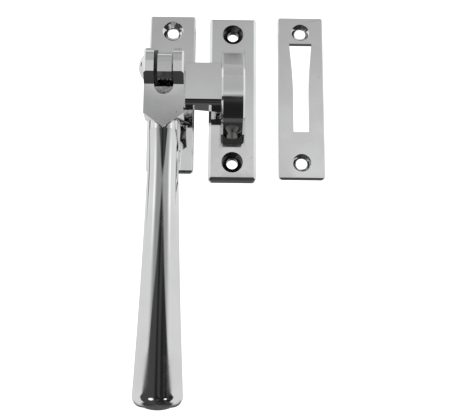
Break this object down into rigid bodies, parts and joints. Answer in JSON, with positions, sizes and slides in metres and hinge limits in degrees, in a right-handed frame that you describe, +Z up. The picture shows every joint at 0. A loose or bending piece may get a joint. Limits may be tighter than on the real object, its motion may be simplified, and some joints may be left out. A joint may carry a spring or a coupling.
{
  "type": "casement window fastener set",
  "caption": "Casement fastener: a lifting handle on a turning wedge-nosed swivel and back plate, with a matching bridge-shaped hook plate and a slotted mortice plate.",
  "frame": {"origin": "centre of the back plate's back face, on the axis that the fastener turns about", "axes": "+X to the viewer's right, from the fastener to the hook plate and the mortice plate; +Y into the window; +Z up, with the handle hanging along -Z"},
  "size_m": [0.0633, 0.0249, 0.1376],
  "materials": {
    "polished_chrome": "polished casting, chrome plated",
    "bright_steel": "turned, bright zinc",
    "white_nylon": "moulded",
    "black_nylon": "moulded"
  },
  "bodies": {
    "plates": {"back_plate": "polished_chrome", "pivot_post": "bright_steel", "thrust_washer": "white_nylon", "hook_plate": "polished_chrome", "mortice_plate": "polished_chrome"},
    "swivel": {"swivel": "polished_chrome", "spring_washer": "bright_steel", "keeper_pin": "bright_steel"},
    "lock": {"lock_screw": "bright_steel"},
    "handle": {"handle": "polished_chrome", "hinge_pin": "polished_chrome", "friction_washer": "black_nylon", "shim_washer": "bright_steel"}
  },
  "joints": [
    {"name": "handle_turn", "type": "hinge", "parent": "plates", "child": "swivel", "pos_m": [0, 0, 0], "axis": [0, 1, 0], "range_deg": [0, 90]},
    {"name": "handle_lift", "type": "hinge", "parent": "swivel", "child": "handle", "pos_m": [-0.0015, -0.01845, 0.002], "axis": [-1, 0, 0], "range_deg": [0, 90]},
    {"name": "lock_screw_in", "type": "slide", "parent": "swivel", "child": "lock", "axis": [0, 0, -1], "range_m": [0, 0.0011]}
  ]
}
